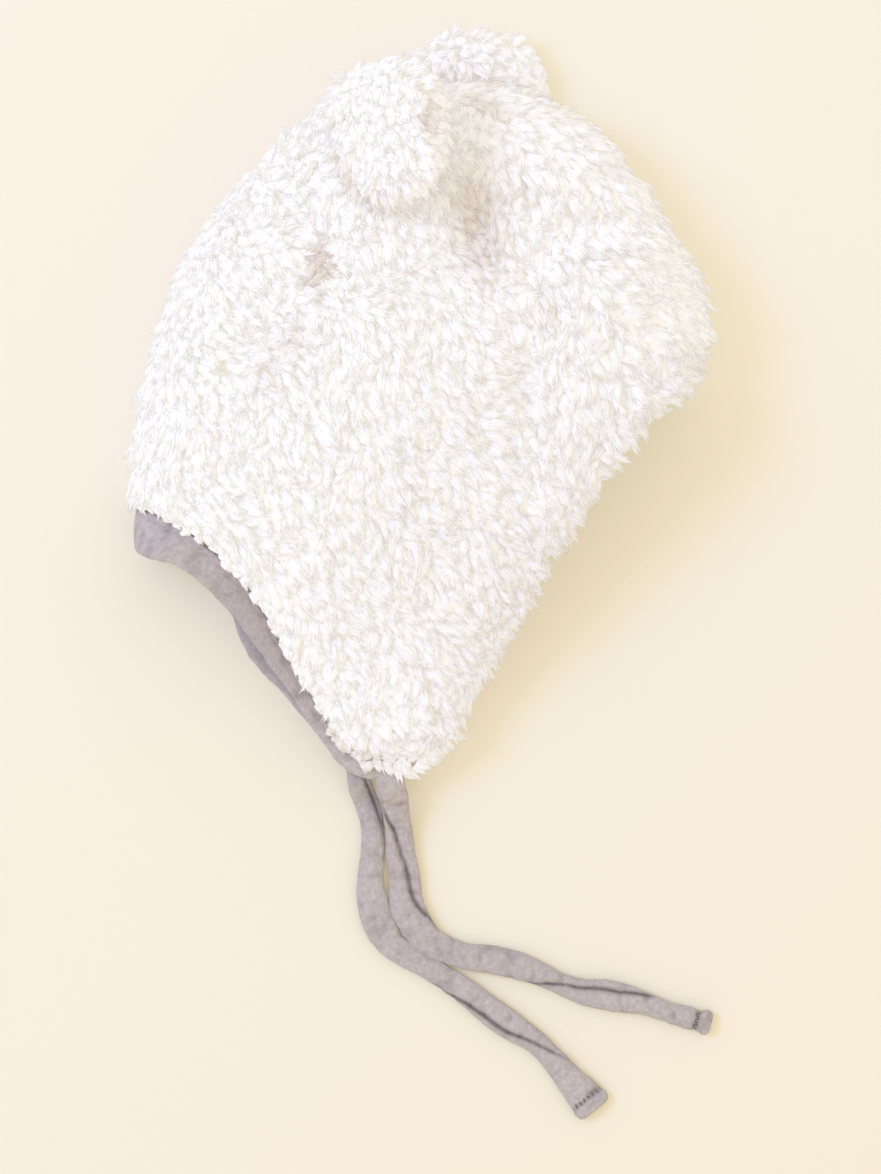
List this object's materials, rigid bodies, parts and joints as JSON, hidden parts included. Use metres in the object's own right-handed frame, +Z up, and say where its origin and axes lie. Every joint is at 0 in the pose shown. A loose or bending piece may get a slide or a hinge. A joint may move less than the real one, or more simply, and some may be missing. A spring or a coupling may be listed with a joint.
{
  "type": "baby hat with ears",
  "caption": "Baby's teddy-fleece hat with round ears, ear flaps, a jersey edging and jersey ties, lying flat on its side.",
  "frame": {"origin": "under the middle of the hat without its ties, on the surface that it lies on", "axes": "+X from the forehead fold to the nape, +Y from the ties to the crown, +Z up from the surface, out of the near side"},
  "size_m": [0.2145, 0.3941, 0.0639],
  "materials": {
    "fleece": "white long-pile teddy fleece, matt",
    "jersey": "grey melange cotton jersey, matt"
  },
  "bodies": {
    "root": {"fleece_body": "fleece", "ear_near": "fleece", "ear_far": "fleece", "edging": "jersey", "tie_near": "jersey", "tie_far": "jersey"}
  },
  "joints": []
}
